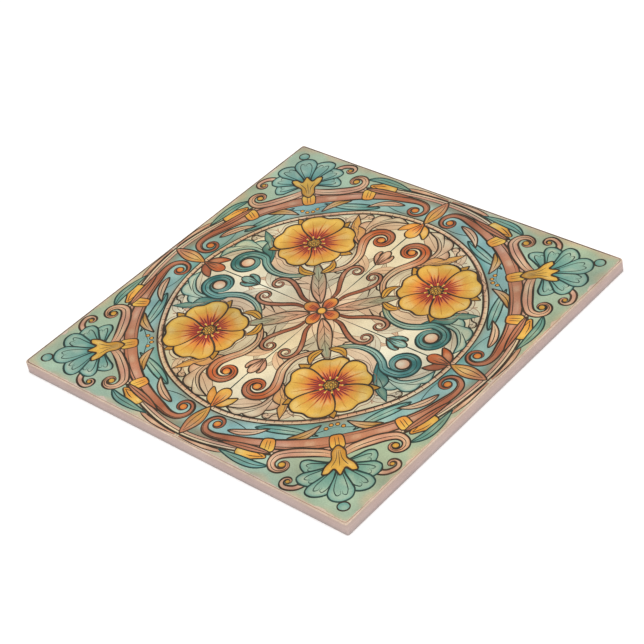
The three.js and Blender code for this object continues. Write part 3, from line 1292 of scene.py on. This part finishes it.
def surface_height_group():
    """A height that rolls slowly and is grainy up close, for a bump."""
    inputs = (
        ("Wave Scale", "NodeSocketFloat", 40.0),
        ("Wave Height", "NodeSocketFloat", 0.5),
        ("Grain Scale", "NodeSocketFloat", 2000.0),
        ("Grain Height", "NodeSocketFloat", 0.1),
    )
    group, given, result = new_group("surface_height", inputs, (("Height", "NodeSocketFloat"),))
    place = group.nodes.new("ShaderNodeTexCoord").outputs["Object"]
    total = 0.0
    for effect in ("Wave", "Grain"):
        noise = noise_over(group, place, given.outputs[effect + " Scale"], 3.0)
        total = worked_out(group, "MULTIPLY_ADD", noise, given.outputs[effect + " Height"], total)
    feed(group, total, result.inputs["Height"])
    return group


def kiln_powder_group():
    """Pale powder from the kiln, left on a colour in soft patches."""
    inputs = (
        ("Colour", "NodeSocketColor", (0.5, 0.5, 0.5, 1)),
        ("Powder Colour", "NodeSocketColor", (0.72, 0.66, 0.60, 1)),
        ("Patch Scale", "NodeSocketFloat", 40.0),
        ("Amount", "NodeSocketFloat", 0.3),
    )
    group, given, result = new_group("kiln_powder", inputs, (("Colour", "NodeSocketColor"),))
    place = group.nodes.new("ShaderNodeTexCoord").outputs["Object"]
    noise = noise_over(group, place, given.outputs["Patch Scale"], 6.0)
    patches = stretched_range(group, noise, 0.42, 0.62)
    share = worked_out(group, "MULTIPLY", patches, given.outputs["Amount"])
    dusted = mixed(group, share, given.outputs["Colour"], given.outputs["Powder Colour"])
    feed(group, dusted, result.inputs["Colour"])
    return group


UNEVEN_COLOUR = uneven_colour_group()
SURFACE_HEIGHT = surface_height_group()
KILN_POWDER = kiln_powder_group()


def placed_group(tree, group, values):
    """A group node in a material, with its values."""
    node = tree.nodes.new("ShaderNodeGroup")
    node.node_tree = group
    for name, value in values.items():
        feed(tree, value, node.inputs[name])
    return node.outputs[0]


def new_material(name):
    """A material with its node tree and its shader."""
    material = bpy.data.materials.new(name)
    material.use_nodes = True
    return material, material.node_tree, material.node_tree.nodes["Principled BSDF"]


def bumped(tree, shader, height, depth):
    """Gives a shader a bump of a real depth from a height."""
    bump = tree.nodes.new("ShaderNodeBump")
    bump.inputs["Distance"].default_value = depth
    tree.links.new(height, bump.inputs["Height"])
    tree.links.new(bump.outputs["Normal"], shader.inputs["Normal"])


def printed_glaze():
    """The print under a clear glaze: watercolour blotches, pigment grain and a faintly rolling gloss."""
    material, tree, shader = new_material("printed_glaze")
    held = tree.nodes.new("ShaderNodeVertexColor")
    held.layer_name = "print"
    uneven = placed_group(tree, UNEVEN_COLOUR, {
        "Colour": held.outputs["Color"],
        "Blotch Scale": 70.0, "Blotch Amount": 0.16, "Grain Scale": 1400.0, "Grain Amount": 0.10,
    })
    feed(tree, uneven, shader.inputs["Base Color"])
    height = placed_group(tree, SURFACE_HEIGHT, {
        "Wave Scale": 90.0, "Wave Height": 1.0, "Grain Scale": 900.0, "Grain Height": 0.05,
    })
    bumped(tree, shader, height, 0.12 * MM)
    shader.inputs["Roughness"].default_value = 0.30
    shader.inputs["IOR"].default_value = 1.45
    return material


def biscuit(name, stops, powder):
    """The bare fired body, sandy and finely layered: colours from foot to top, which hold painted shade,
    and its kiln powder.
    """
    material, tree, shader = new_material(name)
    place = tree.nodes.new("ShaderNodeTexCoord").outputs["Object"]
    split = tree.nodes.new("ShaderNodeSeparateXYZ")
    feed(tree, place, split.inputs["Vector"])
    tones = tree.nodes.new("ShaderNodeValToRGB")
    foot, middle, top = stops
    ramp = tones.color_ramp.elements
    ramp[0].position, ramp[0].color = foot
    ramp[1].position, ramp[1].color = top
    ramp.new(middle[0]).color = middle[1]
    level = stretched_range(tree, split.outputs["Z"], TILE_LOW.z, TILE_HIGH.z)
    feed(tree, level, tones.inputs["Fac"])
    uneven = placed_group(tree, UNEVEN_COLOUR, {
        "Colour": tones.outputs["Color"],
        "Blotch Scale": 45.0, "Blotch Amount": 0.07, "Grain Scale": 2600.0, "Grain Amount": 0.12,
    })
    flattened = tree.nodes.new("ShaderNodeMapping")
    flattened.inputs["Scale"].default_value = (25.0, 25.0, 2600.0)
    feed(tree, place, flattened.inputs["Vector"])
    layers = noise_over(tree, flattened.outputs["Vector"], 1.0, 2.0)
    lined = mixed(tree, layers, uneven, (0.80, 0.76, 0.74, 1), "MULTIPLY")
    dusted = placed_group(tree, KILN_POWDER, {"Colour": lined, "Patch Scale": 38.0, "Amount": powder})
    feed(tree, dusted, shader.inputs["Base Color"])
    height = placed_group(tree, SURFACE_HEIGHT, {
        "Wave Scale": 300.0, "Wave Height": 0.5, "Grain Scale": 3500.0, "Grain Height": 0.8,
    })
    bumped(tree, shader, height, 0.10 * MM)
    shader.inputs["Roughness"].default_value = 0.85
    return material


def floor_white():
    """A plain matt white that glows a little, so that it meets the white all round."""
    material, tree, shader = new_material("floor_white")
    shader.inputs["Base Color"].default_value = (0.94, 0.94, 0.94, 1)
    shader.inputs["Roughness"].default_value = 0.9
    shader.inputs["Emission Color"].default_value = (1, 1, 1, 1)
    shader.inputs["Emission Strength"].default_value = 0.18
    return material


# The studio
def add_camera():
    """The camera that took the picture: far off, with a long lens, rolled a little."""
    azimuth, elevation = math.radians(CAMERA_AZIMUTH), math.radians(CAMERA_ELEVATION)
    level = math.cos(elevation)
    back = Vector((math.sin(azimuth) * level, -math.cos(azimuth) * level, math.sin(elevation)))
    aim = Vector((CAMERA_AIM[0] * TILE_SIDE, CAMERA_AIM[1] * TILE_SIDE, TILE_HIGH.z))
    data = bpy.data.cameras.new("camera")
    data.sensor_width = SENSOR_WIDTH
    data.lens = SENSOR_WIDTH * FOCAL_PIXELS / PICTURE_SIZE
    camera = bpy.data.objects.new("camera", data)
    roll = Matrix.Rotation(math.radians(CAMERA_ROLL), 4, "Z")
    turn = back.to_track_quat("Z", "Y").to_matrix().to_4x4() @ roll
    camera.matrix_world = Matrix.Translation(aim + back * CAMERA_DISTANCE * TILE_SIDE) @ turn
    bpy.context.scene.collection.objects.link(camera)
    bpy.context.scene.camera = camera


def add_softbox(name, place, size, power):
    """A square soft light that faces the tile."""
    data = bpy.data.lights.new(name, "AREA")
    data.size = size
    data.energy = power
    light = bpy.data.objects.new(name, data)
    light.location = place
    light.rotation_euler = Vector(place).to_track_quat("Z", "Y").to_euler()
    bpy.context.scene.collection.objects.link(light)


def add_studio():
    """A plain white floor under soft light from above and from the side of the camera."""
    bpy.ops.object.select_all(action="DESELECT")
    bpy.ops.mesh.primitive_plane_add(size=FLOOR_WIDTH, location=(0, 0, TILE_LOW.z - FLOOR_GAP))
    floor = bpy.context.object
    floor.name = "floor"
    floor.data.materials.append(floor_white())
    for name, place, size, power in SOFTBOXES:
        add_softbox(name, place, size, power)
    world = bpy.data.worlds.new("studio")
    world.use_nodes = True
    background = world.node_tree.nodes["Background"]
    background.inputs["Color"].default_value = (1, 1, 1, 1)
    background.inputs["Strength"].default_value = SURROUNDING_LIGHT
    bpy.context.scene.world = world
    bpy.context.scene.view_settings.view_transform = "Standard"


add_camera()
tile = glazed_tile()
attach(tile, "root")
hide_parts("tile")
add_studio()
